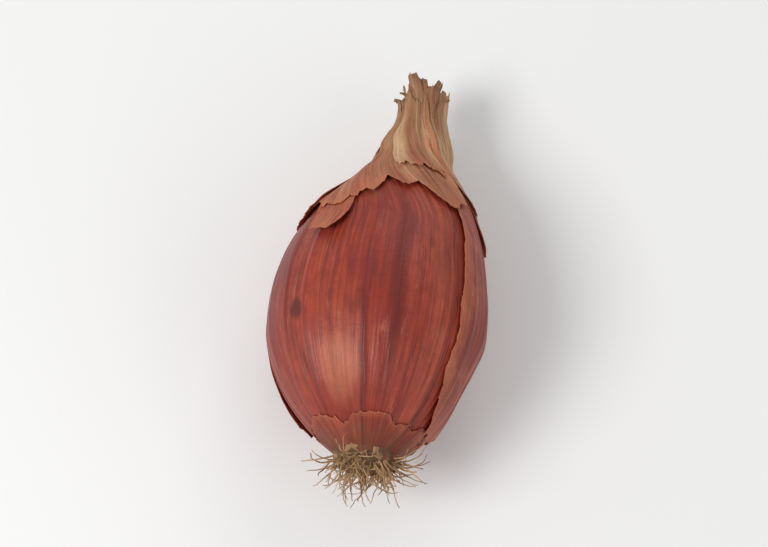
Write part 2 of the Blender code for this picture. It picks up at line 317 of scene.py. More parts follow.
class Layout:
    """Lays nodes in one tree. Values are wires, sockets or plain numbers."""

    SOCKET_KINDS = {
        int: "NodeSocketInt",
        float: "NodeSocketFloat",
        tuple: "NodeSocketColor",
        type(None): "NodeSocketMaterial",
    }
    # Places of a Mix node's factor and colours, and of its result
    MIX_COLOURS = (0, 6, 7)
    MIX_RESULT = 2
    # Places of a Random Value node's limits, number and seed, and of its result
    RANDOM_FLOAT = (2, 3, 7, 8)
    RANDOM_RESULT = 1

    def __init__(self, tree):
        self.tree = tree
        self.given = {}

    def take(self, inputs):
        """Adds the tree's named inputs, each of its default's kind, and makes them readable by name."""
        for name, default in inputs.items():
            kind = self.SOCKET_KINDS[type(default)]
            made = self.tree.interface.new_socket(name=name, in_out="INPUT", socket_type=kind)
            if default is not None:
                made.default_value = default
        source = self.tree.nodes.new("NodeGroupInput")
        self.given = {socket.name: Wire(self, socket) for socket in source.outputs if socket.name}

    def __getitem__(self, name):
        return self.given[name]

    def give(self, **values):
        """Adds the tree's named outputs and joins values to them."""
        for name, value in values.items():
            self.tree.interface.new_socket(name=name, in_out="OUTPUT", socket_type=value.socket.bl_idname)
        sink = self.tree.nodes.new("NodeGroupOutput")
        for name, value in values.items():
            self.feed(sink.inputs[name], value)

    def feed(self, socket, value):
        value = value.socket if isinstance(value, Wire) else value
        if isinstance(value, bpy.types.NodeSocket):
            self.tree.links.new(value, socket)
        else:
            socket.default_value = value

    def feed_places(self, node, places, *values):
        for place, value in zip(places, values):
            self.feed(node.inputs[place], value)

    def node(self, kind, values=None, **settings):
        made = self.tree.nodes.new(kind)
        for name, value in settings.items():
            setattr(made, name, value)
        for name, value in (values or {}).items():
            self.feed(made.inputs[name], value)
        return made

    def wire(self, kind, values=None, output=0, **settings):
        return Wire(self, self.node(kind, values, **settings).outputs[output])

    def maths(self, operation, *values):
        made = self.node("ShaderNodeMath", operation=operation)
        self.feed_places(made, range(len(values)), *values)
        return Wire(self, made.outputs[0])

    def ramp(self, value, low, high, start=0.0, end=1.0, kind="SMOOTHSTEP"):
        values = {"Value": value, "From Min": low, "From Max": high, "To Min": start, "To Max": end}
        return self.wire("ShaderNodeMapRange", values, interpolation_type=kind)

    def line(self, value, low, high):
        return self.ramp(value, low, high, kind="LINEAR")

    def vector(self, x, y, z):
        return self.wire("ShaderNodeCombineXYZ", {"X": x, "Y": y, "Z": z})

    def parts(self, vector):
        made = self.node("ShaderNodeSeparateXYZ", {"Vector": vector})
        return [Wire(self, socket) for socket in made.outputs]

    def noise(self, vector, scale=1.0, detail=2.0, roughness=0.5, seed=0.0):
        values = {"Vector": vector, "W": seed, "Scale": scale, "Detail": detail, "Roughness": roughness}
        return self.wire("ShaderNodeTexNoise", values, noise_dimensions="4D")

    def noise_round(self, turned, along, count, stretch, seed=0.0, **settings):
        """A noise with no seam round the bulb, by its fineness round it and its stretch along it."""
        place = self.vector(turned.cos() * count, turned.sin() * count, along / stretch)
        return self.noise(place, seed=seed, **settings)

    def blend(self, factor, first, second):
        made = self.node("ShaderNodeMix", data_type="RGBA")
        self.feed_places(made, self.MIX_COLOURS, factor, first, second)
        return Wire(self, made.outputs[self.MIX_RESULT])

    def draws(self, number, seed):
        """A function that draws a value between two others for each copy, anew each time it is called."""
        further = itertools.count(1)

        def drawn(low, high):
            made = self.node("FunctionNodeRandomValue", data_type="FLOAT")
            self.feed_places(made, self.RANDOM_FLOAT, low, high, number, seed + float(next(further)))
            return Wire(self, made.outputs[self.RANDOM_RESULT])

        return drawn

    def attribute(self, name, output):
        return self.wire("ShaderNodeAttribute", output=output, attribute_name=name)

    def place(self):
        """The piece's own coordinates, for a material."""
        return self.wire("ShaderNodeTexCoord", output="Object")

    def group(self, tree, values):
        """A node that holds another tree, whose other inputs are joined to this tree's of the same names."""
        made = self.node(self.tree.bl_idname.replace("NodeTree", "NodeGroup"), node_tree=tree)
        for socket in made.inputs:
            if socket.name in values:
                self.feed(socket, values[socket.name])
            elif socket.name in self.given:
                self.feed(socket, self.given[socket.name])
        return {socket.name: Wire(self, socket) for socket in made.outputs}


def new_tree(name, kind, inputs):
    lay = Layout(bpy.data.node_groups.new(name, kind))
    lay.take(inputs)
    return lay


def shared(name, build, *arguments):
    """The tree or material of that name, which is built if it isn't there yet."""
    return bpy.data.node_groups.get(name) or bpy.data.materials.get(name) or build(name, *arguments)


def lying_group(name, scene):
    """A group that turns a point beside the bulb's axis into where it is as the bulb lies."""
    inputs = {"X": 0.0, "Along": 0.0, "Z": 0.0, "Lowest": 0.0} | numbers_of(scene.shallot_shape)
    lay = new_tree(name, "GeometryNodeTree", inputs)
    whole = lay["Bulb Length"] + lay["Neck Length"]
    sway = lay["Neck Sway"] * lay.ramp(lay["Along"], SWAY_FROM, whole)
    ahead = lay["Along"] - lay["Rest Along"]
    cos, sin = lay["Neck Dip"].cos(), lay["Neck Dip"].sin()
    height = lay["Z"] * cos - ahead * sin + lay["Axis Height"]
    aside = lay["X"] + sway - lay["Rest Aside"]
    lay.give(Position=lay.vector(aside, ahead * cos + lay["Z"] * sin, height.at_least(lay["Lowest"])))
    return lay.tree


def relief_group(name, scene):
    """A group for the skin's relief: its veins, pleats and wrinkles, and how much of a vein a point is."""
    lay = new_tree(name, "GeometryNodeTree", {"Turn": 0.0, "Along": 0.0} | numbers_of(scene.shallot_skin))
    at = (lay["Turn"], lay["Along"])
    turned, along = at
    wander = lay.noise_round(*at, *WANDER) - 0.5
    patchy = lay.ramp(lay.noise_round(*at, *PATCHES), 0.35, 0.68)
    led = turned + wander * 0.2
    main = ((led * lay["Vein Count"]).cos() * 0.5 + 0.5) ** 9.0
    fine = ((led * lay["Vein Count"] * 2.0 + 1.3).cos() * 0.5 + 0.5) ** 16.0
    vein = main * (patchy * 0.35 + 0.65) + fine * patchy * 0.6
    swell = lay.noise_round(*at, *SWELLS) - 0.5
    dry = lay.ramp(along, SHRIVEL_FROM, SHRIVEL_TO)
    wrinkle = lay.noise_round(*at, *WRINKLES, detail=3.0) - 0.5
    crease = lay.noise_round(*at, *CREASES) - 0.5
    pleated = lay.ramp(along, PLEATS_FROM, PLEATS_FROM + PLEATS_RISE_OVER)
    pleats = (turned * lay["Pleat Count"] + wander * 3.0).cos() * pleated
    height = (
        vein * lay["Vein Height"] * lay.ramp(along, 0.0, VEINS_RISE_OVER)
        + swell * SWELL
        + wrinkle * (dry * lay["Shrivel"] + FINE_WRINKLE)
        + crease * dry * CREASE
        + pleats * lay["Pleat Depth"]
    )
    stretch = (led * lay["Vein Count"] / FULL_TURN).floor() + lay["Vein Count"]
    lay.give(Height=height, Vein=vein, Stretch=lay.maths("MODULO", stretch, lay["Vein Count"]))
    return lay.tree


def surface_group(name, scene):
    """A group for the bulb's surface: where a point is, by its turn, its distance along and its height."""
    own = {"Turn": 0.0, "Along": 0.0, "Height": 0.0, "Scale": 1.0, "Lowest": 0.0}
    lay = new_tree(name, "GeometryNodeTree", own | numbers_of(scene.shallot_shape, scene.shallot_skin))
    along = lay["Along"]
    whole = lay["Bulb Length"] + lay["Neck Length"]
    to_root = (1.0 - along / lay["Belly At"]).clipped()
    to_neck = ((along - lay["Belly At"]) / (lay["Bulb Length"] - lay["Belly At"])).clipped()
    root_end = (1.0 - to_root**2.0) ** ROOT_END_ROUNDNESS
    shoulder = (1.0 - to_neck**SHOULDER_FULLNESS) ** SHOULDER_ROUNDNESS
    belly = root_end * shoulder
    flesh = lay["Bulb Width"] * 0.5 * belly
    core = lay.ramp(along, 0.0, lay["Bulb Length"], lay["Plate Radius"], lay["Neck Base Radius"])
    neck = lay["Neck Length"] * NECK_TAPER + lay["Bulb Length"]
    thinned = (lay["Neck Base Radius"] - lay["Neck Radius"]) * lay.ramp(along, lay["Bulb Length"], neck)
    outline = (flesh**RUN_TOGETHER + (core - thinned) ** RUN_TOGETHER) ** (1.0 / RUN_TOGETHER)

    angle = lay["Turn"] + lay["Neck Twist"] * lay.ramp(along, TWIST_FROM, whole)
    section = 0.0
    for size, count, at in SECTION_WAVES:
        section = ((angle - at) * count).cos() * size + section
    for depth, at, width, low, high in DENTS:
        off = (angle - at).wrapped() / width
        inside = lay.ramp(along, low - DENT_SOFTNESS, low) * lay.ramp(along, high + DENT_SOFTNESS, high)
        section = section - (off * off * -1.0).exp() * inside * depth
    made = lay.group(shared("Shallot relief", relief_group, scene), {})
    radius = (outline * (section * belly + 1.0) + lay["Height"] + made["Height"]) * lay["Scale"]
    flattening = (lay["Bulb Thickness"] / lay["Bulb Width"] - 1.0) * belly + 1.0
    beside = {"X": radius * angle.cos(), "Z": radius * flattening * angle.sin()}
    place = lay.group(shared("Shallot lies", lying_group, scene), beside)
    lay.give(Position=place["Position"], Vein=made["Vein"], Stretch=made["Stretch"])
    return lay.tree


def piece_tree(name, scene, inputs):
    """Starts a piece's own tree, which takes the bulb's sizes, its relief and the piece's own inputs."""
    sizes = numbers_of(scene.shallot_shape, scene.shallot_skin)
    return new_tree(name, "GeometryNodeTree", sizes | inputs | {"Material": None})


def grid(lay, columns, rows):
    """A flat grid, with the place of each of its points from 0 to 1 across and along."""
    mesh = lay.wire("GeometryNodeMeshGrid", {"Vertices X": columns, "Vertices Y": rows})
    across, up, _ = lay.parts(lay.wire("GeometryNodeInputPosition"))
    return mesh, across + 0.5, up + 0.5


def copies(lay, count, shape):
    """Copies of a shape, all in one place, from where each then finds its own by its number."""
    points = lay.wire("GeometryNodeMeshLine", {"Count": count, "Offset": HERE})
    placed = lay.wire("GeometryNodeInstanceOnPoints", {"Points": points, "Instance": shape})
    return lay.wire("GeometryNodeRealizeInstances", {"Geometry": placed})


def kept(lay, geometry, name, value, kind="FLOAT"):
    """Keeps a value on the corners of the faces, so that it has no seam where the grid closes."""
    values = {"Geometry": geometry, "Name": name, "Value": value}
    return lay.wire("GeometryNodeStoreNamedAttribute", values, data_type=kind, domain="CORNER")


def kept_run(lay, geometry, turned, along, vein=0.0):
    """Keeps each point's turn, its millimetres along the bulb and its share of a vein."""
    return kept(lay, geometry, "run", lay.vector(turned, along / MM, vein), "FLOAT_VECTOR")


def moved(lay, geometry, made):
    return lay.wire("GeometryNodeSetPosition", {"Geometry": geometry, "Position": made["Position"]})


def on_surface(lay, scene, geometry, turned, along, height, scale):
    """Moves points to their places on the bulb's surface, and keeps what the materials read there."""
    values = {"Turn": turned, "Along": along, "Height": height, "Scale": scale}
    made = lay.group(shared("Shallot surface", surface_group, scene), values)
    geometry = kept_run(lay, geometry, turned, along, made["Vein"])
    geometry = kept(lay, geometry, "stretch", made["Stretch"])
    geometry = moved(lay, geometry, made)
    return lay.wire("GeometryNodeFlipFaces", {"Mesh": geometry})


def by_axis(lay, scene, geometry, angle, out, along, beside=0.0):
    """Moves points to their places by the bulb's axis: out from it at a turn, along it and to the side."""
    x = out * angle.cos() - angle.sin() * beside
    z = out * angle.sin() + angle.cos() * beside
    made = lay.group(shared("Shallot lies", lying_group, scene), {"X": x, "Along": along, "Z": z})
    return moved(lay, geometry, made)


def welded(lay, geometry):
    return lay.wire("GeometryNodeMergeByDistance", {"Geometry": geometry, "Distance": WELD})


def finished(lay, geometry):
    """Ends a tree: shaded smooth, realized and given its material."""
    geometry = lay.wire("GeometryNodeSetShadeSmooth", {"Geometry": geometry, "Shade Smooth": True})
    geometry = lay.wire("GeometryNodeRealizeInstances", {"Geometry": geometry})
    values = {"Geometry": geometry, "Material": lay["Material"]}
    lay.give(Geometry=lay.wire("GeometryNodeSetMaterial", values))
    return lay.tree


def skin_tree(name, scene):
    """The whole skin from the middle of the root plate to the pit in the neck's tip, as one closed grid."""
    lay = piece_tree(name, scene, {"Columns": 640, "Rows": 125, "Lowest": SKIN_LOWEST})
    mesh, across, up = grid(lay, lay["Columns"], lay["Rows"])
    turned = across * FULL_TURN
    into_plate = lay.line(up, 0.0, END_ROWS)
    into_pit = lay.line(up, 1.0 - END_ROWS, 1.0)
    even = lay.line(up, END_ROWS, 1.0 - END_ROWS)
    crowded = even * (1.0 - ROW_CROWDING) + (0.5 - (even * math.pi).cos() * 0.5) * ROW_CROWDING
    whole = lay["Bulb Length"] + lay["Neck Length"]
    along = crowded * (whole + lay["Plate Height"]) - lay["Plate Height"] - into_pit * TIP_PIT
    torn = 0.0
    for size, count in TIP_TEETH:
        torn = (turned * count).sin() * size + torn
    in_neck = lay.line(along, lay["Bulb Length"], whole)
    along = along + torn * lay["Tip Raggedness"] * in_neck**3.0 * (1.0 - into_pit)
    scale = into_plate * (1.0 - into_pit)
    mesh = on_surface(lay, scene, mesh, turned, along, 0.0, scale)
    return finished(lay, welded(lay, mesh))


def torn_edge(lay, turned, seed):
    """How deep an end of a sheet is torn in at each turn: broad sweeps, tongues, teeth and frays."""
    sweeps = (lay.noise(lay.vector(turned * 1.1, 0.0, 2.0), detail=0.0, seed=seed) - 0.32).at_least(0.0) * 2.6
    tongues = abs(lay.noise(lay.vector(turned * 2.3, 0.0, 1.0), detail=1.0, seed=seed + 1.0) - 0.5) * 3.0
    teeth = abs(lay.noise(lay.vector(turned * 7.0, 0.0, 1.0), seed=seed + 2.0) - 0.5) * 1.3
    frays = lay.noise(lay.vector(turned * 26.0, 0.0, 1.0), detail=3.0, roughness=0.7, seed=seed + 3.0) * 0.3
    return sweeps + tongues + teeth + frays


def sheet_tree(name, scene):
    """A torn sheet of dry skin that follows the surface under it, with ragged ends and edges that lift."""
    inputs = {
        "Columns": 120,
        "Rows": 120,
        "Turn At": 0.0,
        "Half Turn": 1.0,
        "From": 0.0,
        "To": 30.0 * MM,
        "Stand Off": 0.16 * MM,
        "Side Lift": 0.5 * MM,
        "From Lift": 0.5 * MM,
        "To Lift": 0.5 * MM,
        "Side Reach": 0.28,
        "End Reach": 0.22,
        "Narrowing": 0.0,
        "Corners Off": 0.45,
        "Side Tears": 0.08,
        "Side Tears Apart": 5.0 * MM,
        "Buckles Apart": 7.0 * MM,
        "From Tears": 3.0 * MM,
        "To Tears": 3.0 * MM,
        "Seed": 1.0,
        "Lowest": PAPER_LOWEST,
    }
    lay = piece_tree(name, scene, inputs)
    mesh, across, up = grid(lay, lay["Columns"], lay["Rows"])
    side = across * 2.0 - 1.0
    seed = lay["Seed"]
    plain_along = lay["From"] + (lay["To"] - lay["From"]) * up
    rounding = abs(up * 2.0 - 1.0) ** 5.0 * lay.noise(lay.vector(side, up, 4.0), detail=0.0, seed=seed + 3.0)
    narrowed = 1.0 - lay["Narrowing"] * (1.0 - up) ** 1.5
    half = lay["Half Turn"] * narrowed * (1.0 - rounding * lay["Corners Off"])
    by_side = lay.vector(side * 1.5, plain_along / lay["Side Tears Apart"], 0.0)
    wander = lay.noise(by_side, detail=4.0, roughness=0.6, seed=seed) - 0.5
    turned = lay["Turn At"] + side * half + wander * lay["Side Tears"] * 2.0 * side * side
    from_edge = torn_edge(lay, turned, seed + 4.0) * lay["From Tears"]
    to_edge = torn_edge(lay, turned, seed + 24.0) * lay["To Tears"]
    along = plain_along + from_edge * (1.0 - up) - to_edge * up
    uneven = lay.noise_round(turned, along, 1.6, lay["Buckles Apart"], seed + 9.0, detail=1.0) * 2.2
    near_side = lay.line(abs(side), 1.0 - lay["Side Reach"], 1.0) ** 2.0
    near_from = lay.line(up, lay["End Reach"], 0.0) ** 2.0
    near_to = lay.line(up, 1.0 - lay["End Reach"], 1.0) ** 2.0
    side_lift = near_side * (1.0 - near_to) * lay["Side Lift"]
    lift = (side_lift + near_from * lay["From Lift"] + near_to * lay["To Lift"]) * uneven
    mesh = kept(lay, mesh, "rim", near_side.at_least(near_from).at_least(near_to))
    return finished(lay, on_surface(lay, scene, mesh, turned, along, lay["Stand Off"] + lift, 1.0))


def strips_tree(name, scene):
    """Paper strips that come out of the neck's tip and curl away from its axis."""
    inputs = {
        "Count": 26,
        "Shortest": 0.8 * MM,
        "Longest": 5.2 * MM,
        "Rooted": 5.0 * MM,
        "Narrowest": 0.9 * MM,
        "Widest": 2.9 * MM,
        "Fray": 3.0 * MM,
        "Wave": 1.6 * MM,
        "Seed": 3,
        "Lowest": PAPER_LOWEST,
    }
    lay = piece_tree(name, scene, inputs)
    sheet, across, up = grid(lay, STRIP_COLUMNS, STRIP_ROWS)
    mesh = copies(lay, lay["Count"], sheet)
    number = (lay.wire("GeometryNodeInputIndex") / float(STRIP_COLUMNS * STRIP_ROWS)).floor()
    side = across * 2.0 - 1.0
    drawn = lay.draws(number, lay["Seed"])
    angle = number * GOLDEN_TURN + drawn(-0.3, 0.3)
    reach = drawn(lay["Shortest"], lay["Longest"])
    width = drawn(lay["Narrowest"], lay["Widest"])
    curl = drawn(0.1, 0.8)
    start = lay["Bulb Length"] + lay["Neck Length"] - lay["Rooted"]
    along = start + (lay["Rooted"] + reach) * (up - curl * 0.25 * up**3.0)
    frays = lay.noise(lay.vector(side * 1.6, 0.0, number * 5.0), detail=3.0, roughness=0.7) - 0.5
    along = along + (abs(frays) * 2.0 - 0.4) * up**4.0 * lay["Fray"]
    wave = lay.noise(lay.vector(side * 0.5, up * 2.5, number), seed=7.0) - 0.5
    out = lay["Neck Radius"] * drawn(0.35, 1.0) + reach * curl * up**2.5 + wave * up * lay["Wave"]
    narrow = 1.0 - up * up * drawn(0.45, 0.95)
    cupped = out - side * side * width * 0.22 * narrow
    mesh = kept_run(lay, mesh, angle + side * 0.35, along)
    mesh = kept(lay, mesh, "rim", up)
    return finished(lay, by_axis(lay, scene, mesh, angle, cupped, along, side * width * 0.5 * narrow))


def plate_tree(name, scene):
    """The corky root plate, as a button with a rough crown."""
    inputs = {
        "Columns": 200,
        "Rows": 90,
        "Plate Depth": 2.6 * MM,
        "Crown": 0.5 * MM,
        "Roughness": 1.2 * MM,
        "Rings Apart": 0.55 * MM,
        "Ring Height": 0.12 * MM,
        "Lowest": PAPER_LOWEST,
    }
    lay = piece_tree(name, scene, inputs)
    mesh, across, up = grid(lay, lay["Columns"], lay["Rows"])
    turned = across * FULL_TURN
    front = lay.line(up, 0.0, PLATE_FRONT)
    back = lay.line(up, PLATE_BACK, 1.0)
    radius = lay["Plate Radius"] * (front - back) * PLATE_SPREAD
    spot = lay.vector(radius * turned.cos(), radius * turned.sin(), 0.0)
    rough = lay.noise(spot, scale=1300.0, detail=4.0, roughness=0.65) - 0.5
    ringed = (radius / lay["Rings Apart"] * FULL_TURN).sin() * lay["Ring Height"]
    crown = (1.0 - front**2.4) * lay["Crown"]
    along = lay.ramp(up, PLATE_RIM, PLATE_SEATED) * lay["Plate Depth"] - lay["Plate Height"] - crown
    along = along + (rough * lay["Roughness"] + ringed) * (1.0 - back) * front
    fringe = lay.noise_round(turned, along, 4.0, PLATE_FRINGE, seed=2.0, detail=3.0) - 0.5
    mesh = kept_run(lay, mesh, turned, along)
    mesh = by_axis(lay, scene, mesh, turned, radius * (fringe * 0.35 + 1.0), along)
    return finished(lay, welded(lay, lay.wire("GeometryNodeFlipFaces", {"Mesh": mesh})))


def roots_tree(name, scene):
    """The tuft: curled roots that follow the golden turn and lean out more the nearer they are to the rim."""
    own = {
        "Root Steps": 16,
        "Sunk": 0.8 * MM,
        "Wiggle": 1.6 * MM,
        "Wiggles Apart": 1.6 * MM,
        "Lowest": ROOTS_LOWEST,
    }
    lay = piece_tree(name, scene, own | numbers_of(scene.shallot_roots))
    line = lay.wire("GeometryNodeCurvePrimitiveLine", {"Start": HERE, "End": (0.0, 0.0, 1.0)})
    line = lay.wire("GeometryNodeResampleCurve", {"Curve": line, "Count": lay["Root Steps"]})
    curves = copies(lay, lay["Root Count"], line)
    number = lay.wire("GeometryNodeCurveOfPoint") * 1.0
    up = lay.wire("GeometryNodeSplineParameter")
    drawn = lay.draws(number, lay["Root Seed"])
    angle = number * GOLDEN_TURN + drawn(-0.2, 0.2)
    out = ((number + 0.5) / lay["Root Count"]) ** 0.5
    reach = drawn(lay["Shortest Root"], lay["Longest Root"])
    tilt = out + drawn(-0.3, 0.3)
    curl = drawn(0.3, 2.4)
    bend = drawn(0.0, FULL_TURN)
    gone = (curl * up).sin() / curl * reach
    aside = (1.0 - (curl * up).cos()) / curl * reach
    run = up * reach / lay["Wiggles Apart"]
    wiggle = (lay.noise(lay.vector(number * 3.7, run, 0.0), detail=1.0) - 0.5) * up * lay["Wiggle"]
    waggle = (lay.noise(lay.vector(number * 3.7, run, 9.0), detail=1.0) - 0.5) * up * lay["Wiggle"]
    turned_out = aside * bend.cos()
    away = lay["Plate Radius"] * TUFT_SPREAD * out + gone * tilt.sin() + turned_out * tilt.cos() + wiggle
    along = lay["Sunk"] - lay["Plate Height"] - gone * tilt.cos() + turned_out * tilt.sin()
    curves = by_axis(lay, scene, curves, angle, away, along, aside * bend.sin() + waggle)
    ring = lay.wire("GeometryNodeCurvePrimitiveCircle", {"Resolution": 5, "Radius": lay["Root Radius"]})
    thin = drawn(0.5, 1.0) * (1.0 - up * 0.6)
    tube = {"Curve": curves, "Profile Curve": ring, "Scale": thin, "Fill Caps": True}
    return finished(lay, lay.wire("GeometryNodeCurveToMesh", tube))


def crumbs_tree(name, scene):
    """Crumbs of dry soil on and round the root plate."""
    inputs = {
        "Count": 150,
        "Crumb Radius": 0.3 * MM,
        "Outermost": -0.5 * MM,
        "Innermost": 0.35 * MM,
        "Seed": 5,
        "Lowest": CRUMBS_LOWEST,
    }
    lay = piece_tree(name, scene, inputs)
    points = lay.wire("GeometryNodeMeshLine", {"Count": lay["Count"], "Offset": HERE})
    drawn = lay.draws(lay.wire("GeometryNodeInputIndex"), lay["Seed"])
    angle = drawn(0.0, FULL_TURN)
    out = lay["Plate Radius"] * drawn(0.1, 1.0) ** 0.5
    along = drawn(lay["Outermost"], lay["Innermost"]) - lay["Plate Height"]
    points = by_axis(lay, scene, points, angle, out, along)
    crumb = lay.wire("GeometryNodeMeshIcoSphere", {"Radius": lay["Crumb Radius"], "Subdivisions": 1})
    turned = lay.vector(drawn(0.0, FULL_TURN), drawn(0.0, FULL_TURN), drawn(0.0, FULL_TURN))
    size = lay.vector(drawn(0.3, 1.0), drawn(0.3, 1.0), drawn(0.3, 0.8))
    values = {"Points": points, "Instance": crumb, "Rotation": turned, "Scale": size}
    return finished(lay, lay.wire("GeometryNodeInstanceOnPoints", values))


class Streak(NamedTuple):
    """A mask from a noise: its fineness round the bulb, its stretch in mm and the values that it spans."""

    round_it: float
    stretch: float
    detail: float
    roughness: float
    seed: float
    low: float
    high: float


STREAKS = {
    "Bands": Streak(3.0, 30.0, 3.0, 0.55, 0.0, 0.34, 0.66),
    "Fibres": Streak(34.0, 14.0, 2.0, 0.55, 3.0, 0.32, 0.72),
    "Hairs": Streak(90.0, 20.0, 2.0, 0.5, 5.0, 0.22, 0.8),
    "Blotches": Streak(2.2, 7.0, 4.0, 0.6, 7.0, 0.48, 0.7),
    "Specks": Streak(14.0, 1.2, 2.0, 0.6, 11.0, 0.64, 0.76),
    "Scuffs": Streak(9.0, 5.0, 4.0, 0.7, 13.0, 0.56, 0.7),
    "Crinkle": Streak(9.0, 0.45, 2.0, 0.6, 15.0, 0.2, 0.8),
    "Mottle": Streak(11.0, 1.7, 3.0, 0.6, 19.0, 0.42, 0.66),
}
THREADS = Streak(8.0, 24.0, 1.0, 0.5, 17.0, 0.5, 0.56)


def streaks_group(name):
    """Colour bands, fibres, blotches and finer marks that run along the bulb, each as a mask."""
    lay = new_tree(name, "ShaderNodeTree", {"Turn": 0.0, "Along": 0.0, "Seed": 0.0})

    def noise(streak):
        own = {"detail": streak.detail, "roughness": streak.roughness, "seed": lay["Seed"] + streak.seed}
        return lay.noise_round(lay["Turn"], lay["Along"], streak.round_it, streak.stretch, **own)

    masks = {mask: lay.ramp(noise(streak), streak.low, streak.high) for mask, streak in STREAKS.items()}
    off_middle = abs(noise(THREADS) - THREADS.low) / (THREADS.high - THREADS.low)
    lay.give(**masks, Threads=(1.0 - off_middle).clipped())
    return lay.tree


def soiled_group(name):
    """Dry soil dust that gathers towards the root plate."""
    colours = {"Color": (0.5, 0.5, 0.5, 1.0), "Soil": (0.2, 0.15, 0.1, 1.0)}
    lay = new_tree(name, "ShaderNodeTree", colours | {"Turn": 0.0, "Along": 0.0, "Reach": 5.0, "Amount": 0.6})
    uneven = lay.noise_round(lay["Turn"], lay["Along"], 3.0, 2.0, detail=4.0, roughness=0.65)
    nearness = lay.line(lay["Along"], lay["Reach"], -1.0)
    mask = (lay.ramp(nearness + uneven - 0.5, 0.25, 0.95) * lay["Amount"]).clipped()
    lay.give(Color=lay.blend(mask, lay["Color"], lay["Soil"]), Mask=mask)
    return lay.tree


def mark_group(name):
    """One blotch with a soft, uneven edge, at a given place on the bulb."""
    inputs = {"Turn": 0.0, "Along": 0.0, "Turn At": 0.0, "Along At": 0.0}
    lay = new_tree(name, "ShaderNodeTree", inputs | {"Half Turn": 0.1, "Half Length": 2.0, "Strength": 0.5})
    off = (lay["Turn"] - lay["Turn At"]).wrapped() / lay["Half Turn"]
    up = (lay["Along"] - lay["Along At"]) / lay["Half Length"]
    uneven = lay.noise_round(lay["Turn"], lay["Along"], 8.0, 3.0, detail=4.0, roughness=0.65) - 0.5
    lay.give(Mask=lay.ramp(off * off + up * up + uneven * 1.6, 1.3, 0.1) * lay["Strength"])
    return lay.tree


class Look(NamedTuple):
    """What sets one skin apart: its colours by their names in the settings, its seed and its finish."""

    light: str
    middle: str
    blotches: str
    seed: float
    roughness: float
    marked: bool = False


LOOKS = {
    "shallot_skin": Look("light", "middle", "mauve", 1.0, 0.36, marked=True),
    "dry_skin_warm": Look("light", "middle", "paper", 4.0, 0.44),
    "dry_skin_pale": Look("paper", "light", "paper", 7.0, 0.55),
    "dry_skin_brown": Look("neck", "light", "paper", 9.0, 0.6),
}


class Mark(NamedTuple):
    """A mark on the skin: its colour's name, its strength, and its middle and half size in degrees and mm."""

    tinted: str
    strength: float
    turn_at: float
    along_at: float
    half_turn: float
    half_length: float


MARKS = (
    Mark("dark", 0.55, 82, 21, 5, 14),
    Mark("paper", 0.45, 113, 8.5, 15, 4.5),
    Mark("vein", 0.75, 137, 16.5, 4.5, 1.6),
    Mark("vein", 0.4, 66, 27, 2.5, 1.0),
    Mark("paper", 0.4, 190, 24, 12, 6),
    Mark("dark", 0.45, 160, 22, 6, 12),
)


def new_material(name, specular=0.5):
    """A new material, with the layout for its nodes and its Principled BSDF."""
    material = bpy.data.materials.new(name)
    material.use_nodes = True
    shader = material.node_tree.nodes["Principled BSDF"]
    shader.inputs["Specular IOR Level"].default_value = specular
    return material, Layout(material.node_tree), shader


def finish(lay, shader, tone, roughness, relief=None, strength=0.6, depth=0.15 * MM):
    """Joins a material's colour and roughness to its shader, and its relief as a bump."""
    lay.feed(shader.inputs["Base Color"], tone)
    lay.feed(shader.inputs["Roughness"], roughness)
    if relief is not None:
        values = {"Height": relief, "Strength": strength, "Distance": depth}
        lay.feed(shader.inputs["Normal"], lay.wire("ShaderNodeBump", values))


def painted(lay, tone, colours, *layers):
    """A tone with layers of the settings' colours over it, each given by its mask and its colour's name."""
    for mask, name in layers:
        tone = lay.blend(mask, tone, opaque(getattr(colours, name)))
    return tone


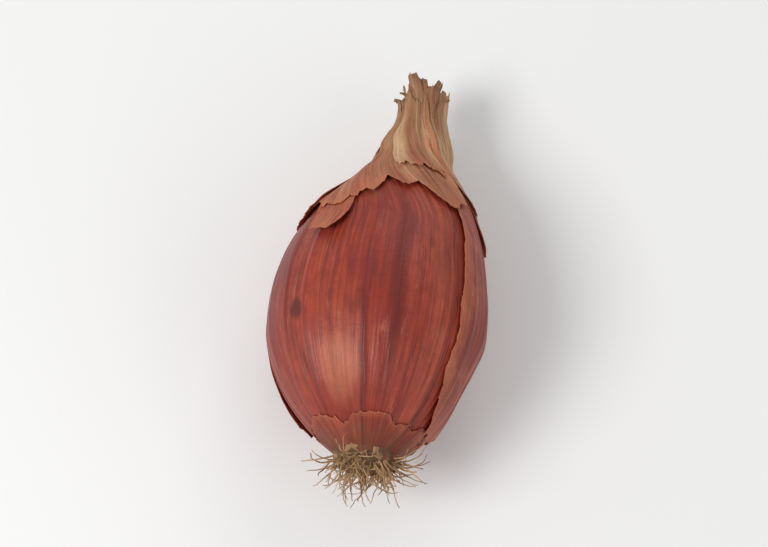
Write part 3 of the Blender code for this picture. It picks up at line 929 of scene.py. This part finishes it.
def skin_material(name, scene, look):
    """Shallot skin: streaked along its veins, paler at a torn edge, straw and brown towards the neck."""
    skin = scene.shallot_skin
    material, lay, shader = new_material(name, specular=0.35)
    turned, along, vein = lay.parts(lay.attribute("run", "Vector"))
    rim = lay.attribute("rim", "Fac")
    stretch = lay.attribute("stretch", "Fac").rounded() + look.seed
    own = lay.wire("ShaderNodeTexWhiteNoise", {"W": stretch}, noise_dimensions="1D")
    at = {"Turn": turned, "Along": along}
    made = lay.group(shared("Skin streaks", streaks_group), at | {"Seed": look.seed})
    line = vein.at_least(0.0) ** 2.2 * (made["Hairs"] * 0.6 + 0.5)
    line = line.clipped().at_least(made["Threads"] * made["Hairs"] * 0.75)

    tone = painted(
        lay,
        opaque(getattr(skin, look.light)),
        skin,
        ((made["Bands"] * 0.5 + own * 0.5 + 0.1).clipped(), look.middle),
        (made["Fibres"] * 0.45, "dark"),
        (made["Mottle"] * 0.28, "dark"),
        (made["Blotches"] * (own * 0.4 + 0.3), look.blotches),
        (made["Scuffs"] * 0.35, "paper"),
        (line * 0.9, "vein"),
        (rim * (made["Hairs"] * 0.6 + 0.15), "paper"),
    )
    neck = painted(
        lay,
        opaque(skin.neck),
        skin,
        (made["Bands"], "straw"),
        (made["Blotches"] * 0.5, "light"),
        (made["Fibres"] * 0.5, "scorched"),
    )
    to_neck = lay.ramp(along + (made["Bands"] - 0.5) * 8.0, *NECK_COLOURS)
    tone = lay.blend(to_neck * 0.9, tone, neck)
    scorch = lay.ramp(along + made["Hairs"] * 7.0, *SCORCHED_COLOURS)
    tone = painted(lay, tone, skin, (scorch * 0.6, "scorched"), (made["Specks"] * 0.35, "dark"))
    for mark in MARKS if look.marked else ():
        values = {
            "Turn At": math.radians(mark.turn_at),
            "Along At": mark.along_at,
            "Half Turn": math.radians(mark.half_turn),
            "Half Length": mark.half_length,
            "Strength": mark.strength,
        }
        placed = lay.group(shared("Placed mark", mark_group), at | values)
        tone = painted(lay, tone, skin, (placed["Mask"], mark.tinted))

    values = {"Color": tone, "Soil": opaque(scene.shallot_roots.soil), "Reach": 5.5, "Amount": 0.6}
    soiled = lay.group(shared("Soil dust", soiled_group), at | values)
    rough = made["Fibres"] * 0.12 + made["Scuffs"] * 0.15 + to_neck * 0.15 + soiled["Mask"] * 0.25
    relief = made["Hairs"] * 0.35 + made["Fibres"] * 0.3 + made["Crinkle"] * 0.2 - made["Specks"] * 0.2
    finish(lay, shader, soiled["Color"], rough + look.roughness, relief)
    return material


def plate_material(name, scene):
    """The root plate: rough brown cork with pale root scars."""
    roots = scene.shallot_roots
    material, lay, shader = new_material(name)
    place = lay.place()
    grain = lay.noise(place, scale=1400.0, detail=5.0, roughness=0.7)
    scars = lay.ramp(lay.noise(place, scale=700.0, seed=3.0), 0.5, 0.62)
    layers = ((lay.ramp(grain, 0.3, 0.7), "plate"), (scars * 0.5, "fibre"))
    tone = painted(lay, opaque(roots.soil), roots, *layers)
    finish(lay, shader, tone, grain * 0.2 + 0.75, grain, strength=0.7, depth=0.3 * MM)
    return material


def root_material(name, scene):
    """The roots: pale straw fibre with brown stretches."""
    roots = scene.shallot_roots
    material, lay, shader = new_material(name)
    place = lay.place()
    stretches = lay.noise(place, scale=600.0, detail=3.0, roughness=0.6)
    fine = lay.noise(place, scale=4000.0, seed=2.0)
    layers = ((lay.ramp(stretches, 0.38, 0.66) * 0.9, "plate"), (fine * 0.3, "soil"))
    tone = painted(lay, opaque(roots.fibre), roots, *layers)
    finish(lay, shader, tone, fine * 0.2 + 0.65, fine, strength=0.4, depth=0.05 * MM)
    return material


def soil_material(name, scene):
    """Dry soil."""
    roots = scene.shallot_roots
    material, lay, shader = new_material(name)
    grain = lay.noise(lay.place(), scale=5000.0, detail=3.0, roughness=0.7)
    finish(lay, shader, painted(lay, opaque(roots.soil), roots, (grain, "plate")), grain * 0.1 + 0.88)
    return material


def floor_material(name, scene):
    """The floor's plain matt paint."""
    material, lay, shader = new_material(name)
    grain = lay.noise(lay.place(), scale=300.0, detail=3.0)
    finish(lay, shader, opaque(scene.shallot_stage.floor), grain * 0.1 + 0.6)
    return material


def set_inputs(modifier, values):
    """Sets a tree's inputs by their identifiers, from values by their names."""
    left = dict(values)
    for item in modifier.node_group.interface.items_tree:
        if item.item_type == "SOCKET" and item.in_out == "INPUT" and item.name in left:
            modifier[item.identifier] = left.pop(item.name)
    if left:
        raise KeyError(f"{modifier.node_group.name} has no input named {sorted(left)}")


def make_piece(context, name, tree, values, thickness=0.0):
    """Runs a tree on a new object, keeps its result as a plain mesh and hands the piece to the frame."""
    scene = context.scene
    piece = bpy.data.objects.new(name, bpy.data.meshes.new(name))
    scene.collection.objects.link(piece)
    modifier = piece.modifiers.new(tree.name, "NODES")
    modifier.node_group = tree
    set_inputs(modifier, numbers_of(scene.shallot_shape, scene.shallot_skin) | values)
    if thickness:
        paper = piece.modifiers.new("Paper thickness", "SOLIDIFY")
        paper.thickness = thickness
        paper.offset = -1.0
    depsgraph = context.evaluated_depsgraph_get()
    evaluated = piece.evaluated_get(depsgraph)
    mesh = bpy.data.meshes.new_from_object(evaluated, preserve_all_data_layers=True, depsgraph=depsgraph)
    if not mesh.polygons:
        raise RuntimeError(f"{name} came out empty")
    piece.modifiers.clear()
    empty = piece.data
    piece.data = mesh
    bpy.data.meshes.remove(empty)
    mesh.name = name
    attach(piece, BODY)
    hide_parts(NODE)


class Sheet(NamedTuple):
    """A torn sheet: its look, its grid, its middle and half width in degrees, and its ends in mm."""

    slot: str
    look: str
    columns: int
    rows: int
    turn_at: float
    half_turn: float
    starts: float
    ends: float
    seed: float
    others: dict


FLANK_INPUTS = {"Side Lift": 0.35 * MM, "To Lift": 0.0}
BACK_INPUTS = {"Side Lift": 0.3 * MM}
FLAKE_INPUTS = {
    "From Lift": 1.1 * MM,
    "To Lift": 0.0,
    "Side Lift": 0.25 * MM,
    "End Reach": 0.8,
    "Narrowing": 0.45,
    "From Tears": 1.6 * MM,
    "To Tears": 0.0,
    "Side Tears": 0.05,
}
NECK_SKIN_INPUTS = {
    "Stand Off": 0.22 * MM,
    "From Tears": 3.6 * MM,
    "To Tears": 3.0 * MM,
    "From Lift": 0.45 * MM,
    "To Lift": 0.2 * MM,
    "Side Lift": 0.35 * MM,
}
ROOT_SKIN_INPUTS = {
    "Stand Off": 0.13 * MM,
    "From Tears": 0.0,
    "To Tears": 1.5 * MM,
    "From Lift": 0.0,
    "To Lift": 0.12 * MM,
    "Side Lift": 0.06 * MM,
}

SHEETS = {
    "flank_skin": Sheet("dry_skin", "warm", 230, 190, -16, 61, 0.8, 42, 1.0, FLANK_INPUTS),
    "back_skin": Sheet("dry_skin", "warm", 150, 160, 226, 36, 1.5, 31, 2.0, BACK_INPUTS),
    "shoulder_flake": Sheet("dry_skin", "pale", 60, 60, 127, 16, 26.5, 38, 3.0, FLAKE_INPUTS),
    "side_flake": Sheet("dry_skin", "pale", 60, 60, -13, 20, 30.5, 41, 4.0, FLAKE_INPUTS),
    "neck_skin_1": Sheet("papery_neck", "brown", 160, 120, 95, 78, 32.0, 58, 5.0, NECK_SKIN_INPUTS),
    "neck_skin_2": Sheet("papery_neck", "brown", 150, 120, -50, 70, 34.5, 59, 6.0, NECK_SKIN_INPUTS),
    "neck_skin_3": Sheet("papery_neck", "pale", 150, 120, 200, 66, 30.5, 57, 7.0, NECK_SKIN_INPUTS),
    "neck_skin_4": Sheet("papery_neck", "pale", 80, 90, 40, 34, 38, 59.5, 8.0, NECK_SKIN_INPUTS),
    "neck_skin_5": Sheet("papery_neck", "brown", 80, 90, 150, 40, 41, 60, 12.0, NECK_SKIN_INPUTS),
    "root_skin_1": Sheet("dry_skin", "warm", 160, 50, 110, 95, -0.6, 4.2, 9.0, ROOT_SKIN_INPUTS),
    "root_skin_2": Sheet("dry_skin", "pale", 140, 50, -60, 80, -0.8, 3.4, 10.0, ROOT_SKIN_INPUTS),
}


class SHALLOT_OT_skin(Operator):
    """Makes the bulb's own skin, from its root end to the tip of its neck"""

    bl_idname = "shallot.skin"
    bl_label = "Skin"

    def execute(self, context):
        tree = shared("Whole skin", skin_tree, context.scene)
        material = shared("shallot_skin", skin_material, context.scene, LOOKS["shallot_skin"])
        make_piece(context, "bulb_skin", tree, {"Material": material})
        return {"FINISHED"}


class SHALLOT_OT_dry_skin(Operator):
    """Makes the torn sheets of dry skin on the bulb and its neck"""

    bl_idname = "shallot.dry_skin"
    bl_label = "Torn Dry Skin"

    def execute(self, context):
        tree = shared("Torn sheet", sheet_tree, context.scene)
        for name, sheet in SHEETS.items():
            look = f"dry_skin_{sheet.look}"
            inputs = {
                "Columns": sheet.columns,
                "Rows": sheet.rows,
                "Turn At": math.radians(sheet.turn_at),
                "Half Turn": math.radians(sheet.half_turn),
                "From": sheet.starts * MM,
                "To": sheet.ends * MM,
                "Seed": sheet.seed,
                "Material": shared(look, skin_material, context.scene, LOOKS[look]),
            }
            make_piece(context, name, tree, inputs | sheet.others, PAPER_THICKNESS)
        return {"FINISHED"}


class SHALLOT_OT_neck(Operator):
    """Makes the paper strips at the neck's tip"""

    bl_idname = "shallot.neck"
    bl_label = "Neck Strips"

    def execute(self, context):
        tree = shared("Neck strips", strips_tree, context.scene)
        material = shared("dry_skin_brown", skin_material, context.scene, LOOKS["dry_skin_brown"])
        make_piece(context, "neck_strips", tree, {"Material": material}, PAPER_THICKNESS)
        return {"FINISHED"}


class SHALLOT_OT_roots(Operator):
    """Makes the root plate, its tuft of dry roots and the soil left among them"""

    bl_idname = "shallot.roots"
    bl_label = "Root Plate and Roots"

    def execute(self, context):
        scene = context.scene
        plate = shared("Root plate", plate_tree, scene)
        cork = shared("root_plate_cork", plate_material, scene)
        make_piece(context, "root_plate", plate, {"Material": cork})
        tuft = shared("Root tuft", roots_tree, scene)
        fibre = shared("root_fibre", root_material, scene)
        make_piece(context, "roots", tuft, numbers_of(scene.shallot_roots) | {"Material": fibre})
        crumbs = shared("Soil crumbs", crumbs_tree, scene)
        soil = shared("dry_soil", soil_material, scene)
        make_piece(context, "soil_crumbs", crumbs, {"Material": soil})
        return {"FINISHED"}


class Lamp(NamedTuple):
    """A soft square lamp: where it stands, how wide it is and its power in watts."""

    place: tuple
    width: float
    power: float


LAMPS = {
    "key": Lamp((-0.32, -0.16, 0.42), 0.22, 1.75),
    "fill": Lamp((0.42, -0.2, 0.3), 0.4, 0.5),
    "back": Lamp((0.1, 0.45, 0.32), 0.3, 0.55),
}


def aim(thing, place):
    """Puts a lamp or camera at its place, and turns it to the middle of the bulb."""
    thing.location = place
    thing.rotation_euler = (LOOKED_AT - Vector(place)).to_track_quat("-Z", "Y").to_euler()


def put(scene, name, data):
    """Links a new object with that data to the scene."""
    thing = bpy.data.objects.new(name, data)
    scene.collection.objects.link(thing)
    return thing


class SHALLOT_OT_stage(Operator):
    """Makes the floor, the lamps and the camera"""

    bl_idname = "shallot.stage"
    bl_label = "Stage"

    def execute(self, context):
        scene = context.scene
        stage = scene.shallot_stage
        mesh = bpy.data.meshes.new("floor")
        corners = [(x * FLOOR_REACH, y * FLOOR_REACH, 0.0) for x, y in ((-1, -1), (1, -1), (1, 1), (-1, 1))]
        mesh.from_pydata(corners, [], [(0, 1, 2, 3)])
        mesh.materials.append(shared("floor_paint", floor_material, scene))
        put(scene, "floor", mesh)

        for name, lamp in LAMPS.items():
            data = bpy.data.lights.new(name, "AREA")
            data.size = lamp.width
            data.energy = lamp.power
            aim(put(scene, name, data), lamp.place)

        world = bpy.data.worlds.new("studio")
        world.use_nodes = True
        light = world.node_tree.nodes["Background"].inputs
        light["Color"].default_value = WORLD_TINT
        light["Strength"].default_value = WORLD_STRENGTH
        scene.world = world
        scene.view_settings.view_transform = "Standard"

        data = bpy.data.cameras.new("camera")
        data.lens = stage.lens
        data.clip_start = 0.01
        scene.camera = put(scene, "camera", data)
        level = math.cos(stage.elevation)
        aside, ahead = math.sin(stage.azimuth) * level, math.cos(stage.azimuth) * level
        aim(scene.camera, LOOKED_AT + Vector((aside, -ahead, math.sin(stage.elevation))) * stage.distance)
        return {"FINISHED"}


OPERATORS = (SHALLOT_OT_skin, SHALLOT_OT_dry_skin, SHALLOT_OT_neck, SHALLOT_OT_roots, SHALLOT_OT_stage)


class SHALLOT_PT_sidebar(Panel):
    """Lists the shallot's sizes, colours and pieces"""

    bl_idname = "SHALLOT_PT_sidebar"
    bl_label = "Pink Shallot"
    bl_space_type = "VIEW_3D"
    bl_region_type = "UI"
    bl_category = "Shallot"

    def draw(self, context):
        for name in SETTINGS:
            box = self.layout.box()
            group = getattr(context.scene, name)
            for field in fields(group):
                box.prop(group, field.identifier)
        for operator in OPERATORS:
            self.layout.operator(operator.bl_idname)


CLASSES = (*SETTINGS.values(), *OPERATORS, SHALLOT_PT_sidebar)


def register():
    for each in CLASSES:
        bpy.utils.register_class(each)
    for name, group in SETTINGS.items():
        setattr(bpy.types.Scene, name, PointerProperty(type=group))


def unregister():
    for name in SETTINGS:
        delattr(bpy.types.Scene, name)
    for each in reversed(CLASSES):
        bpy.utils.unregister_class(each)


def main():
    register()
    bpy.ops.shallot.skin()
    bpy.ops.shallot.dry_skin()
    bpy.ops.shallot.neck()
    bpy.ops.shallot.roots()
    bpy.ops.shallot.stage()
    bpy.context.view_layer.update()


if __name__ == "__main__":
    main()
